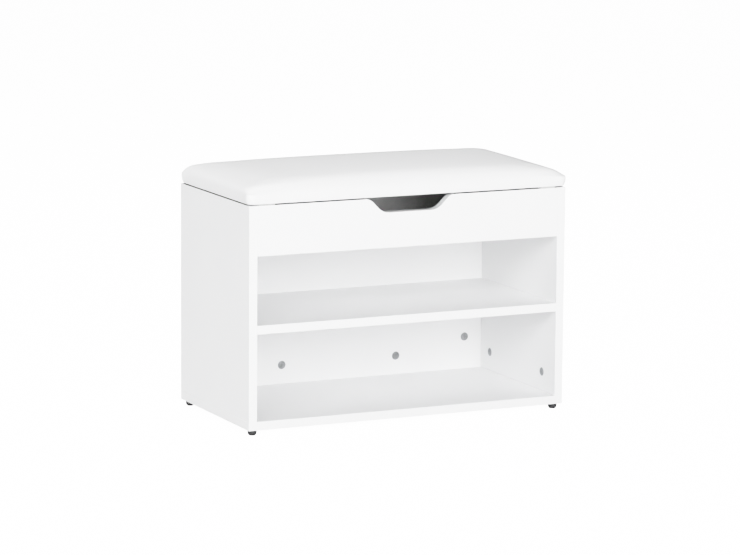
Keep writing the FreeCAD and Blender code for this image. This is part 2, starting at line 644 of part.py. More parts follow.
# ---------------------------------------------------------------- seat
def roll_end(half, height):
    """Where the rolled edge hands over to the crown, at the point where their slopes agree.

    Gives the turn round the roll's ellipse and the distance from the middle.
    """
    rise = height - CROWN
    low, high = math.radians(45), math.radians(89)
    while high - low > 1e-7:
        turn = (low + high) / 2
        reach = half - ROLL_WIDTH * (1 - math.cos(turn))
        lean = math.atan(rise / (ROLL_WIDTH * math.tan(turn)))
        if rise * math.sin(turn) + reach * math.tan(lean / 2) > height:
            low = turn
        else:
            high = turn
    return turn, reach


def cushion_ridge(half, run, base, top):
    """A long ridge along Y with the seat's section: upright sides, rolled edges and a low crown."""
    side_top = SEAT_BOARD_TOP_Z
    turn, reach = roll_end(half, top - side_top)
    rise = top - side_top - CROWN
    meet_z = side_top + rise * math.sin(turn)
    ellipse = Part.Ellipse(V(0, 0, 0), ROLL_WIDTH, rise)
    roll = Part.ArcOfEllipse(ellipse, 0, turn).toShape()
    roll.rotate(V(0, 0, 0), V(1, 0, 0), 90)
    roll.translate(V(half - ROLL_WIDTH, 0, side_top))
    outline = [
        Part.LineSegment(V(-half, 0, base), V(half, 0, base)).toShape(), roll,
        Part.Arc(V(reach, 0, meet_z), V(0, 0, top), V(-reach, 0, meet_z)).toShape(),
        roll.mirror(V(0, 0, 0), V(1, 0, 0)),
    ]
    if base < side_top:
        outline.insert(1, Part.LineSegment(V(half, 0, base), V(half, 0, side_top)).toShape())
        outline.append(Part.LineSegment(V(-half, 0, side_top), V(-half, 0, base)).toShape())
    ridge = prism(outline, REAR * run)
    ridge.translate(FRONT * (run / 2))
    return ridge


def cushion(inset, base, top):
    """The padded seat's shape, inset from its outside by the same amount all round.

    The section along the seat is a little the higher, so that the two crowns cross cleanly.
    """
    half_y = (SEAT_REAR_Y + HALF_Y) / 2
    spare = 20.0
    over_x = cushion_ridge(HALF_X - inset, 2 * (half_y + spare), base, top + CROWN / 4)
    over_y = cushion_ridge(half_y - inset, 2 * (HALF_X + spare), base, top)
    over_y.rotate(V(0, 0, 0), UP, 90)
    shape = over_x.common(over_y)
    shape.translate(REAR * (SEAT_REAR_Y - half_y))
    return shape.cut(seat_corners(inset, base - spare, top + spare))


def seat_corners(inset, base, top):
    """What rounding takes off the four upright corners of the seat."""
    radius = SEAT_CORNER - inset
    spare = 5.0
    cutters = []
    for _, sign in SIDES:
        for y, toward in ((-HALF_Y + inset, 1), (SEAT_REAR_Y - inset, -1)):
            x = sign * (HALF_X - inset)
            centre = V(x - sign * radius, y + toward * radius, base)
            block = box(sorted((centre.x, x + sign * spare)), sorted((centre.y, y - toward * spare)),
                        (base, top))
            cutters.append(block.cut(rod(radius, centre, UP, top - base)))
    return tuple(cutters)


def seat_block(inset, base, top):
    """The seat's rounded outline in plan, with upright sides between two heights."""
    block = box((-HALF_X + inset, HALF_X - inset), (-HALF_Y + inset, SEAT_REAR_Y - inset), (base, top))
    return block.cut(seat_corners(inset, base - 1, top + 1))


def staple(at, turn):
    """A wire staple driven up through the cloths: crown under them, legs in the seat board."""
    half = STAPLE_CROWN / 2
    wide = STAPLE_WIDTH

    def wire(x, height):
        return Part.makeBox(x[1] - x[0], wide, height, V(x[0], -wide / 2, 0))

    shape = wire((-half, half), STAPLE_WIRE)
    legs = [wire((-half, -half + STAPLE_WIRE), STAPLE_LEG), wire((half - STAPLE_WIRE, half), STAPLE_LEG)]
    shape = shape.fuse(tuple(legs)).removeSplitter()
    shape.rotate(V(0, 0, 0), UP, turn)
    shape.translate(at)
    keep("seat_staples", shape)
    for cloth in ("seat_dust_cover", "seat_cover", "seat_board"):
        cuts[cloth].append(shape)


def spread(low, high, pitch):
    """Evenly spaced places from low to high, about a pitch apart."""
    count = max(1, round((high - low) / pitch))
    return [low + (high - low) * n / count for n in range(count + 1)]


def seat_staples():
    """One row of staples round the seat's underside, through the hems of both cloths."""
    corner = 3 * STAPLE_CROWN
    z = SEAT_Z - DUST_COVER - STAPLE_WIRE
    bracket_y = stay_point(*LID_PIVOT)[0]
    for x in spread(-HALF_X + corner, HALF_X - corner, STAPLE_PITCH):
        for y in (-HALF_Y + STAPLE_INSET, SEAT_REAR_Y - STAPLE_INSET):
            staple(V(x, y, z), 0)
    for y in spread(-HALF_Y + corner, SEAT_REAR_Y - corner, STAPLE_PITCH):
        if abs(y - bracket_y) > (BRACKET_WIDTH + STAPLE_CROWN) / 2 + STAPLE_CLEARANCE:
            for _, sign in SIDES:
                staple(V(sign * (HALF_X - STAPLE_INSET), y, z), 90)


def seat():
    """The board, its foam, the leathercloth drawn round both, and the cloth that hides its hems."""
    inner = cushion(COVER, SEAT_BOARD_Z, SEAT_TOP_Z - COVER)
    outer = cushion(0, SEAT_Z, SEAT_TOP_Z)
    board = seat_block(COVER, SEAT_BOARD_Z, SEAT_BOARD_TOP_Z)
    underside = box((-HALF_X + COVER_HEM, HALF_X - COVER_HEM),
                    (-HALF_Y + COVER_HEM, SEAT_REAR_Y - COVER_HEM),
                    (SEAT_Z - END_PLAY, SEAT_BOARD_Z + END_PLAY))
    edge = DUST_COVER_INSET
    sheet = box((-HALF_X + edge, HALF_X - edge), (-HALF_Y + edge, SEAT_REAR_Y - DUST_COVER_REAR_INSET),
                (SEAT_Z - DUST_COVER, SEAT_Z))
    keep("seat_foam", cushion(COVER, SEAT_BOARD_TOP_Z, SEAT_TOP_Z - COVER))
    keep("seat_board", without(board, cuts["seat_board"]))
    keep("seat_cover", without(outer.cut((inner, underside)), cuts["seat_cover"]))
    keep("seat_dust_cover", without(sheet, cuts["seat_dust_cover"]))


# ---------------------------------------------------------------- build and export
carcass_joints()
feet()
lid_pads()
for side_name, side_sign in SIDES:
    hinge(side_name, side_sign)
    stay(side_name, side_sign)
seat_staples()
seat()
carcass_boards()

os.makedirs("parts", exist_ok=True)
for node, pieces in sorted(solids.items()):
    whole = pieces[0] if len(pieces) == 1 else Part.makeCompound(pieces)
    whole.exportStep(os.path.join("parts", node + ".step"))
print(len(solids), "nodes,", sum(len(pieces) for pieces in solids.values()), "solids")
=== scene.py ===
import math

import bmesh
import bpy
from mathutils import Matrix, Vector


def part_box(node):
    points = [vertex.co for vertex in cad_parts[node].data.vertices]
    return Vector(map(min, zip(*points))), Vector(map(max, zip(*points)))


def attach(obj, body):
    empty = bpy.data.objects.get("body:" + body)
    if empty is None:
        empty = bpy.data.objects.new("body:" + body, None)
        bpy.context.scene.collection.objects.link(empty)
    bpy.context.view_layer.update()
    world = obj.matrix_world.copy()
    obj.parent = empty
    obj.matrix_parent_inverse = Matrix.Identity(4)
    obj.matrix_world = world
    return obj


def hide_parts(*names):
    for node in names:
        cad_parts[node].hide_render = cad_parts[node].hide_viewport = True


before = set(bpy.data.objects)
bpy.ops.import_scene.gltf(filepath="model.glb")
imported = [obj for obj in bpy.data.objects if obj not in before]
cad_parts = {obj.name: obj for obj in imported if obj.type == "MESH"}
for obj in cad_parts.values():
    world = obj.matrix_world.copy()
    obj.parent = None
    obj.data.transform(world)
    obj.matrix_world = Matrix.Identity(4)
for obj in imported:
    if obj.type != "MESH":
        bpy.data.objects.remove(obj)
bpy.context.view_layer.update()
scene = bpy.context.scene

# ---------------------------------------------------------------- carcass boards
# Seven boards of 15 mm chipboard faced with white melamine paper, which has a fine pearl grain. Each
# edge has a white plastic band 0.8 mm thick, glued on and trimmed flush. As far as the pads, the front
# and side boards carry painted shade on their top edges, where the seat comes down: near black, for the
# shadow in the gap.
MM = 0.001
BOARDS = {
    "bottom_panel": 2, "shelf": 2, "compartment_floor": 2,
    "left_side_panel": 0, "right_side_panel": 0,
    "back_panel": 1, "front_panel": 1,
}
MELAMINE = (0.935, 0.937, 0.94)
MELAMINE_CLOUD = (0.915, 0.918, 0.925)
CLOUD_SCALE = 7.0
PEARL_SCALE = 1100.0
TICK_SCALE = 240.0
PEARL_DEPTH = 0.035 * MM
EDGE_BAND = (0.925, 0.928, 0.932)
GLUE_LINE = (0.60, 0.60, 0.59)
BAND_THICKNESS = 0.8 * MM
GLUE_WIDTH = 0.16 * MM
GLUE_SHADE = 0.55
# Painted shade: a near-black, rougher band on the top edges of these boards stands for the shadow in the
# gap under the seat.
GAP_SHADED_BOARDS = ("front_panel", "left_side_panel", "right_side_panel")
GAP_SHADE_BLACK = (0.016, 0.016, 0.017)
GAP_SHADE_DULL = 0.5
GAP_SHADE_MARGIN = 0.4 * MM
GAP_SHADE_DEPTH = 0.1 * MM
GAP_SHADE_END = 7 * MM


class Wire:
    """A shader socket that can be added, taken away, multiplied and compared like a number."""

    def __init__(self, finish, socket):
        self.finish = finish
        self.socket = socket

    def __add__(self, other):
        return self.finish.maths("ADD", self, other)

    def __sub__(self, other):
        return self.finish.maths("SUBTRACT", self, other)

    def __rsub__(self, other):
        return self.finish.maths("SUBTRACT", other, self)

    def __mul__(self, other):
        return self.finish.maths("MULTIPLY", self, other)

    def __abs__(self):
        return self.finish.maths("ABSOLUTE", self, 0)

    def __lt__(self, other):
        return self.finish.maths("LESS_THAN", self, other)

    def __gt__(self, other):
        return self.finish.maths("GREATER_THAN", self, other)

    def least(self, other):
        return self.finish.maths("MINIMUM", self, other)

    __radd__ = __add__
    __rmul__ = __mul__


class Finish:
    """A material: one Principled shader, and the nodes that vary its colour, gloss and surface."""

    def __init__(self, name, **look):
        self.material = bpy.data.materials.new(name)
        self.material.use_nodes = True
        self.tree = self.material.node_tree
        self.shader = self.tree.nodes["Principled BSDF"]
        for words, value in look.items():
            self.set(words.replace("_", " ").title().replace("Ior", "IOR"), value)
        self.place = self.node("TexCoord", {}, {}, "Object")

    def set(self, socket, value):
        """Gives one of the shader's sockets a number, a colour or a wire."""
        if isinstance(value, Wire):
            self.tree.links.new(value.socket, self.shader.inputs[socket])
        elif isinstance(value, tuple):
            self.shader.inputs[socket].default_value = (*value, 1)
        else:
            self.shader.inputs[socket].default_value = value

    def node(self, kind, settings, inputs, out=0):
        """Adds one shader node: its settings first, then the values or wires of its sockets."""
        made = self.tree.nodes.new("ShaderNode" + kind)
        for name, value in settings.items():
            if name == "stops":
                for _ in value[2:]:
                    made.color_ramp.elements.new(1)
                for stop, (at, grey) in zip(made.color_ramp.elements, value):
                    stop.position = at
                    stop.color = (grey, grey, grey, 1)
            else:
                setattr(made, name, value)
        for name, value in inputs.items():
            if isinstance(value, Wire):
                self.tree.links.new(value.socket, made.inputs[name])
            elif isinstance(value, tuple) and made.inputs[name].type == "RGBA":
                made.inputs[name].default_value = (*value, 1)
            else:
                made.inputs[name].default_value = value
        return Wire(self, made.outputs[out])

    def maths(self, operation, a, b):
        return self.node("Math", {"operation": operation}, {0: a, 1: b})

    def noise(self, scale, detail=2.0, place=None):
        """Cloudy variation, with scale in lumps to the metre."""
        return self.node("TexNoise", {}, {"Vector": place or self.place, "Scale": scale, "Detail": detail})

    def cells(self, scale, feature="F1", out="Distance", place=None):
        return self.node("TexVoronoi", {"feature": feature},
                         {"Vector": place or self.place, "Scale": scale}, out)

    def stretched(self, x, y, z, turn=(0, 0, 0)):
        """The piece's own coordinates, scaled differently along each axis."""
        return self.node("Mapping", {}, {"Vector": self.place, "Scale": (x, y, z), "Rotation": turn})

    def axes(self, vector):
        parts = self.node("SeparateXYZ", {}, {0: vector}).socket.node
        return [Wire(self, out) for out in parts.outputs]

    def ramp(self, value, *stops):
        return self.node("ValToRGB", {"stops": stops}, {0: value})

    def blend(self, factor, first, second):
        return self.node("Mix", {"data_type": "RGBA"}, {0: factor, 6: first, 7: second}, 2)

    def bump(self, height, depth, strength=1.0):
        """Raises the surface by height times depth, which is in metres."""
        relief = self.node("Bump", {}, {"Strength": strength, "Distance": depth, "Height": height})
        self.set("Normal", relief)

    def dress(self, *names):
        """Puts the finish on CAD nodes, by name."""
        for name in names:
            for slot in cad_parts[name].material_slots:
                slot.material = self.material


def melamine(board, thin):
    """Faced board with banded edges: thin is the axis that its 15 mm runs along."""
    low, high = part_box(board)
    face = Finish("melamine_" + board, roughness=0.42, specular_ior_level=0.45)
    ways = face.axes(face.place)
    across = abs(face.axes(face.node("TexCoord", {}, {}, "Normal"))[thin])
    on_face = face.ramp(across, (0.6, 0), (0.95, 1))
    rims = [half - abs(way - middle) for way, half, middle, axis in
            zip(ways, (high - low) / 2, (high + low) / 2, range(3)) if axis != thin]
    inset = rims[0].least(rims[1])
    glue = (abs(inset - BAND_THICKNESS) < GLUE_WIDTH / 2) * on_face
    cloud = face.ramp(face.noise(CLOUD_SCALE, 3.0), (0.35, 0), (0.65, 1))
    paper = face.blend(cloud, MELAMINE, MELAMINE_CLOUD)
    banded = face.blend(on_face, EDGE_BAND, paper)
    colour = face.blend(glue * GLUE_SHADE, banded, GLUE_LINE)
    pearl = face.noise(PEARL_SCALE, 2.0)
    ticks = face.noise(TICK_SCALE, 1.0)
    dullness = 0.36 + 0.10 * pearl + 0.05 * ticks
    # Painted shade: the top face of each listed board, inside a small margin and clear of the pads, is
    # coloured near black for the shadow in the gap under the seat.
    if board in GAP_SHADED_BOARDS:
        pads_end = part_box("lid_pads")[1]
        edge = (high[thin] - low[thin]) / 2 - abs(ways[thin] - (high[thin] + low[thin]) / 2)
        between_pads = abs(ways[0]) < pads_end.x
        behind_pads = (ways[1] > pads_end.y) * (ways[1] < high.y - GAP_SHADE_END)
        gap_shade = (ways[2] > high.z - GAP_SHADE_DEPTH) * (edge > GAP_SHADE_MARGIN)
        gap_shade = gap_shade * (between_pads if board == "front_panel" else behind_pads)
        colour = face.blend(gap_shade, colour, GAP_SHADE_BLACK)
        dullness = dullness + GAP_SHADE_DULL * gap_shade
    face.set("Base Color", colour)
    face.set("Roughness", dullness)
    grain = (pearl * 0.7 + ticks * 0.3) * (0.35 + 0.65 * on_face)
    face.bump(grain - glue * 0.8, PEARL_DEPTH, 0.6)
    face.dress(board)


for board_name, thin_axis in BOARDS.items():
    melamine(board_name, thin_axis)

# ---------------------------------------------------------------- cam locks, cam bolts and dowels
# The boards are drawn together by die-cast zinc cam locks, flush in 15 mm pockets and turned with a
# screwdriver, on steel bolts plated with zinc. Fluted beech dowels keep the joints in line.
JOINTS = ("side", "back", "shelf", "floor", "front")
CAST_ZINC = (0.36, 0.37, 0.38)
CAST_ZINC_DULL = (0.22, 0.225, 0.23)
CAST_FROST_SCALE = 420.0
CAST_PATCH_SCALE = 90.0
CAST_DEPTH = 0.06 * MM
PLATED = (0.62, 0.63, 0.64)
PLATED_DULL = (0.46, 0.47, 0.48)
TARNISH_SCALE = 160.0
PLATED_GLOSS_SCALE = 700.0
PLATED_GRAIN_SCALE = 900.0
PLATED_DEPTH = 0.02 * MM
BEECH = (0.66, 0.45, 0.27)
BEECH_PORE = (0.45, 0.28, 0.15)
FLECK_LONG = 90.0
FLECK_WIDE = 900.0
FLECK_DEPTH = 0.12 * MM

cast = Finish("cast_zinc", metallic=0.85)
frost = cast.noise(CAST_FROST_SCALE, 4.0)
patches = cast.noise(CAST_PATCH_SCALE, 3.0)
cast.set("Base Color", cast.blend(cast.ramp(patches, (0.35, 0), (0.7, 1)), CAST_ZINC, CAST_ZINC_DULL))
cast.set("Roughness", 0.34 + 0.30 * frost)
cast.bump(frost, CAST_DEPTH, 0.7)
cast.dress(*(joint + "_cam_locks" for joint in JOINTS))

plated = Finish("plated_bolt", metallic=1.0)
tarnish = plated.noise(TARNISH_SCALE, 3.0)
plated.set("Base Color", plated.blend(plated.ramp(tarnish, (0.4, 0), (0.7, 1)), PLATED, PLATED_DULL))
plated.set("Roughness", 0.22 + 0.25 * plated.noise(PLATED_GLOSS_SCALE, 2.0))
plated.bump(plated.noise(PLATED_GRAIN_SCALE, 2.0), PLATED_DEPTH, 0.5)
plated.dress(*(joint + "_cam_bolts" for joint in JOINTS))

beech = Finish("beech", roughness=0.6)
fleck = beech.noise(1.0, 4.0, beech.stretched(FLECK_LONG, FLECK_WIDE, FLECK_WIDE))
beech.set("Base Color", beech.blend(beech.ramp(fleck, (0.45, 0), (0.62, 1)), BEECH, BEECH_PORE))
beech.set("Roughness", 0.5 + 0.25 * fleck)
beech.bump(fleck, FLECK_DEPTH, 0.8)
beech.dress(*(joint + "_dowels" for joint in JOINTS))

# ---------------------------------------------------------------- feet
# Four black plastic glides, moulded as low domes with a fine spark finish, their soles polished by
# the floor. A bright wire nail through each is driven up into the bottom board.
SIDES = ("left", "right")
FOOT_BLACK = (0.018, 0.018, 0.019)
FOOT_SCUFF = (0.075, 0.075, 0.072)
SOLE_HEIGHT = 0.4 * MM
SCUFF_LONG = 500.0
SCUFF_FINE = 2600.0
SPARK_GLOSS_SCALE = 1500.0
SPARK_SCALE = 2600.0
SPARK_DEPTH = 0.05 * MM
NAIL = (0.55, 0.55, 0.54)
NAIL_ROUND = 2000.0
NAIL_LONG = 120.0

plastic = Finish("black_plastic", specular_ior_level=0.5)
height = plastic.axes(plastic.place)[2]
scratches = plastic.noise(1.0, 3.0, plastic.stretched(SCUFF_LONG, SCUFF_FINE, SCUFF_LONG))
scuffs = plastic.ramp(scratches, (0.55, 0), (0.75, 1))
sole = height < SOLE_HEIGHT
plastic.set("Base Color", plastic.blend(scuffs * (0.15 + 0.6 * sole), FOOT_BLACK, FOOT_SCUFF))
plastic.set("Roughness", 0.46 - 0.16 * sole + 0.12 * plastic.noise(SPARK_GLOSS_SCALE))
plastic.bump(plastic.noise(SPARK_SCALE, 2.0), SPARK_DEPTH, 0.7)
plastic.dress(*("foot_" + end + "_" + side for end in ("front", "rear") for side in SIDES))

nail = Finish("nail_wire", metallic=1.0, base_color=NAIL)
nail.set("Roughness", 0.25 + 0.3 * nail.noise(1.0, 2.0, nail.stretched(NAIL_ROUND, NAIL_ROUND, NAIL_LONG)))
nail.dress("foot_nails")

# ---------------------------------------------------------------- pads under the seat's front edge
# Two strips of dense white felt on sticky backing, pressed on to the front's top edge near its ends.
# They hold the seat 2 mm up, level with the closed hinges, and hush it as it shuts.
FELT = (0.86, 0.86, 0.85)
FELT_HOLLOW = (0.70, 0.70, 0.69)
FIBRE_LONG = 900.0
FIBRE_FINE = 2200.0
FIBRE_TURN = (0.2, 0.3, 0.9)
FIBRE_DEPTH = 0.15 * MM

felt = Finish("pad_felt", roughness=0.95, sheen_weight=0.3, sheen_roughness=0.6)
fibre = felt.noise(1.0, 4.0, felt.stretched(FIBRE_LONG, FIBRE_FINE, FIBRE_FINE, FIBRE_TURN))
felt.set("Base Color", felt.blend(felt.ramp(fibre, (0.4, 0), (0.62, 1)), FELT, FELT_HOLLOW))
felt.bump(fibre, FIBRE_DEPTH, 0.9)
felt.dress("lid_pads")

# ---------------------------------------------------------------- hinges
# Two butt hinges, pressed from steel strip and nickel plated, shut between the back board's top edge
# and the seat. The plating is polished along the leaf and dull where the knuckles rub.
NICKEL = (0.62, 0.60, 0.56)
NICKEL_DULL = (0.42, 0.40, 0.37)
POLISH_LONG = 60.0
POLISH_FINE = 1800.0
POLISH_DEPTH = 0.015 * MM
NICKEL_WEAR_SCALE = 140.0

nickel = Finish("nickel_plate", metallic=1.0)
drawn = nickel.noise(1.0, 3.0, nickel.stretched(POLISH_LONG, POLISH_FINE, POLISH_FINE))
worn = nickel.ramp(nickel.noise(NICKEL_WEAR_SCALE, 4.0), (0.45, 0), (0.7, 1))
nickel.set("Base Color", nickel.blend(worn, NICKEL, NICKEL_DULL))
nickel.set("Roughness", 0.18 + 0.18 * drawn + 0.15 * worn)
nickel.bump(drawn, POLISH_DEPTH, 0.6)
nickel.dress(*(part + "_" + side for part in ("hinge_fixed_leaf", "hinge_moving_leaf", "hinge_pin")
               for side in SIDES))

# ---------------------------------------------------------------- friction stays
# At each end a plate on the side board carries an arm, and a link joins the arm to a bracket under
# the seat. All are zinc-plated pressings 2 mm thick, tumbled to a soft grey, on bright steel rivets.
ZINC_PLATE = (0.60, 0.61, 0.63)
ZINC_BLOOM = (0.44, 0.45, 0.47)
BLOOM_SCALE = 60.0
SPANGLE_SCALE = 260.0
PRESSING_GRAIN_SCALE = 1300.0
PRESSING_DEPTH = 0.02 * MM
RIVET_STEEL = (0.50, 0.50, 0.50)
RIVET_GLOSS_SCALE = 500.0
RIVET_GRAIN_SCALE = 800.0
RIVET_DEPTH = 0.03 * MM

pressing = Finish("zinc_pressing", metallic=0.95)
bloom = pressing.ramp(pressing.noise(BLOOM_SCALE, 5.0), (0.4, 0), (0.66, 1))
sparkle = pressing.axes(pressing.cells(SPANGLE_SCALE, out="Color"))[0]
pressing.set("Base Color", pressing.blend(bloom * 0.7, ZINC_PLATE, ZINC_BLOOM))
pressing.set("Roughness", 0.30 + 0.16 * sparkle + 0.10 * bloom)
pressing.bump(pressing.noise(PRESSING_GRAIN_SCALE, 2.0), PRESSING_DEPTH, 0.5)
pressing.dress(*(part + "_" + side for part in ("stay_plate", "stay_arm", "stay_link", "stay_seat_bracket")
                 for side in SIDES))

rivet = Finish("rivet_steel", metallic=1.0, base_color=RIVET_STEEL)
rivet.set("Roughness", 0.2 + 0.3 * rivet.noise(RIVET_GLOSS_SCALE, 3.0))
rivet.bump(rivet.noise(RIVET_GRAIN_SCALE, 2.0), RIVET_DEPTH, 0.5)
rivet.dress(*(part + "_" + side for part in ("stay_friction_screw", "stay_elbow_rivet", "stay_seat_rivet")
              for side in SIDES))

# ---------------------------------------------------------------- screws
# Countersunk wood screws, cross recessed and plated with bright zinc, hold the hinges and stays.
# The recesses keep a trace of the dark wax that they are driven with.
SCREW_ZINC = (0.64, 0.65, 0.67)
SCREW_WAX = (0.30, 0.30, 0.29)
WAX_SCALE = 600.0
SCREW_GRAIN_SCALE = 1600.0
SCREW_DEPTH = 0.015 * MM

bright = Finish("screw_zinc", metallic=1.0)
waxed = bright.ramp(bright.noise(WAX_SCALE, 3.0), (0.5, 0), (0.72, 1))
bright.set("Base Color", bright.blend(waxed * 0.6, SCREW_ZINC, SCREW_WAX))
bright.set("Roughness", 0.2 + 0.25 * waxed)
bright.bump(bright.noise(SCREW_GRAIN_SCALE), SCREW_DEPTH, 0.5)
bright.dress("hinge_carcass_screws", "hinge_seat_screws", "stay_plate_screws", "stay_bracket_screws")

# ---------------------------------------------------------------- seat board
# The seat is built on a bare chipboard panel 15 mm thick: pale and dark flakes pressed together,
# finer at the faces than at the cut edges. Cloth and foam hide all of it.
FLAKE = (0.62, 0.47, 0.30)
FLAKE_DARK = (0.40, 0.27, 0.15)
FLAKE_PALE = (0.74, 0.62, 0.44)
FLAKE_SCALE = 420.0
FLAKE_DEPTH = 0.2 * MM

chipboard = Finish("bare_chipboard", roughness=0.85)
flakes = chipboard.axes(chipboard.cells(FLAKE_SCALE, out="Color"))
shade = chipboard.blend(chipboard.ramp(flakes[0], (0.35, 0), (0.9, 1)), FLAKE, FLAKE_DARK)
pale = chipboard.ramp(flakes[1], (0.6, 0), (0.95, 1))
chipboard.set("Base Color", chipboard.blend(pale, shade, FLAKE_PALE))
chipboard.bump(chipboard.cells(FLAKE_SCALE), FLAKE_DEPTH, 0.8)
chipboard.dress("seat_board")

# ---------------------------------------------------------------- seat cover
# White leathercloth drawn tight over the foam and the board, folded under and stapled. It is tight
# along the front and back and slacker at the ends, which slope down to the front corners. The spare
# cloth at each corner is tucked into a pleat on the end face.
GRID = 5 * MM
WALL_RINGS = 4
WALL_TOP = 17 * MM
CROWN_RISE = 9 * MM
CROWN_POWER = 2.5
ROLL_POWER = 2.76
FRONT_ROLL = 32 * MM
REAR_ROLL = 21 * MM
FRONT_END_ROLL = 108 * MM
REAR_END_ROLL = 40 * MM
FRONT_BLUNT = 1.4
REAR_BLUNT = 4.0
CORNER_RADIUS = 11 * MM
LEDGE = 1.6 * MM
WALL_SWELL = 1.6 * MM
CORNER_SWELL = 2.0 * MM
CORNER_REACH = 30 * MM
SWELL_HEIGHT = 26 * MM
SIM_FRAMES = 12
SIM_PRESSURE = 4.0
SIM_LIMIT = 1.2 * MM
SIM_SHRINK = 0.002
PLEATS = ((-1, 9 * MM), (1, 12 * MM))
PLEAT_STEP = 0.7 * MM
SOFTEN_FROM = 8 * MM
SOFTEN_ROUNDS = 3
SOFTEN_SHARE = 0.5
PLEAT_THICKNESS = 1.2 * MM
PLEAT_HEIGHT = 24 * MM
HINGE_ROOM = 3.1 * MM
HINGE_OPENING = 2 * MM
HINGE_END_ROOM = 0.5 * MM
LEATHER = (0.925, 0.927, 0.93)
# Darker tone: painted shade in the grain's creases, and random drift.
LEATHER_SHADE_AND_DRIFT = (0.82, 0.825, 0.835)
PEBBLE_SCALE = 900.0
DRIFT_SCALE = 14.0
PEBBLE_DEPTH = 0.06 * MM

seat_low, seat_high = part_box("seat_cover")
seat_middle = (seat_low + seat_high) / 2
seat_half = (seat_high - seat_low) / 2


def shown(mesh, name):
    """Puts a finished mesh in the scene as an object at the origin."""
    piece = bpy.data.objects.new(name, mesh)
    scene.collection.objects.link(piece)
    return piece


def to_mesh(made, name):
    mesh = bpy.data.meshes.new(name)
    made.to_mesh(mesh)
    made.free()
    return mesh


def seat_blank():
    """A closed box of even quads in the seat's outline, its walls as high as the roll's start."""
    made = bmesh.new()
    size = seat_half * 2
    counts = [round(length / GRID) for length in size.xy]
    for z in (seat_low.z, seat_low.z + WALL_TOP):
        into = Matrix.Translation((*seat_middle.xy, z)) @ Matrix.Diagonal((*size.xy, 1, 1))
        bmesh.ops.create_grid(made, x_segments=counts[0], y_segments=counts[1], size=0.5, matrix=into)
    bmesh.ops.bridge_loops(made, edges=[edge for edge in made.edges if edge.is_boundary])
    uprights = [edge for edge in made.edges
                if abs(edge.verts[0].co.z - edge.verts[1].co.z) > WALL_TOP / 2]
    bmesh.ops.subdivide_edges(made, edges=uprights, cuts=WALL_RINGS - 1, use_grid_fill=True)
    bmesh.ops.recalc_face_normals(made, faces=made.faces)
    return made


def inset(spot, axis):
    """How far a point, given from the seat's middle, lies inside its outline along one axis."""
    return seat_half[axis] - abs(spot[axis])


def fill_out(made):
    """Moves the blank's points on to the filled cushion: a low crown inside rolled edges."""
    room = seat_high.z - seat_low.z - WALL_TOP
    for vert in made.verts:
        share = (vert.co.z - seat_low.z) / WALL_TOP
        spot = vert.co - seat_middle
        back = (spot.y + seat_half.y) / (2 * seat_half.y)
        end_roll = FRONT_END_ROLL + (REAR_END_ROLL - FRONT_END_ROLL) * back
        rolls = (end_roll, FRONT_ROLL if spot.y < 0 else REAR_ROLL)
        blunt = FRONT_BLUNT if spot.y < 0 else REAR_BLUNT
        steep = 0
        flat = 1
        for axis, roll in enumerate(rolls):
            out = math.cos(min(1, inset(spot, axis) / roll) * math.pi / 2) ** (2 / ROLL_POWER)
            steep += out ** (ROLL_POWER * blunt)
            if inset(spot, axis) < roll:
                spot[axis] = math.copysign(seat_half[axis] - roll * (1 - out), spot[axis])
            flat *= 1 - abs(spot[axis] / seat_half[axis]) ** CROWN_POWER
        steep = steep ** (1 / blunt)
        rise = max(0, 1 - steep) ** (1 / ROLL_POWER) * (room - LEDGE - CROWN_RISE * (1 - flat))
        rise += LEDGE * min(1, 2 - steep)
        vert.co.xy = seat_middle.xy + spot.xy
        vert.co.z = seat_low.z + share * (WALL_TOP + rise)


def round_off(made):
    """Rounds the corners in plan, and lets the walls stand a little proud, most at the corners."""
    for vert in made.verts:
        spot = vert.co - seat_middle
        arc = [inset(spot, axis) - CORNER_RADIUS for axis in (0, 1)]
        if max(arc) < 0:
            shrink = min(arc) / -math.hypot(*arc)
            for axis in (0, 1):
                reach = CORNER_RADIUS + arc[axis] * shrink
                spot[axis] = math.copysign(seat_half[axis] - reach, spot[axis])
        height = (vert.co.z - seat_low.z) / SWELL_HEIGHT
        proud = math.sin(math.pi * min(1, height)) if height > 0 else 0
        near = math.exp(-(math.hypot(inset(spot, 0), inset(spot, 1)) / CORNER_REACH) ** 2)
        for axis in (0, 1):
            close = max(0, 1 - inset(spot, axis) / FRONT_ROLL)
            spot[axis] += math.copysign((WALL_SWELL + CORNER_SWELL * near) * proud * close, spot[axis])
        vert.co.xy = seat_middle.xy + spot.xy


def settle(mesh):
    """Inflates the cloth as the foam does, and returns where its points come to rest."""
    piece = shown(mesh.copy(), "seat_settling")
    held = piece.vertex_groups.new(name="held")
    held.add([vert.index for vert in mesh.vertices if vert.co.z < seat_low.z + WALL_TOP + LEDGE],
             1.0, "REPLACE")
    cloth = piece.modifiers.new("cloth", "CLOTH")
    cloth.settings.vertex_group_mass = held.name
    cloth.settings.use_pressure = True
    cloth.settings.uniform_pressure_force = SIM_PRESSURE
    cloth.settings.shrink_min = SIM_SHRINK
    cloth.settings.effector_weights.gravity = 0
    cloth.point_cache.frame_end = SIM_FRAMES
    for step in range(1, SIM_FRAMES + 1):
        scene.frame_set(step)
    settled = piece.evaluated_get(bpy.context.evaluated_depsgraph_get()).to_mesh()
    places = [vert.co.copy() for vert in settled.vertices]
    scene.frame_set(1)
    bpy.data.objects.remove(piece)
    return places


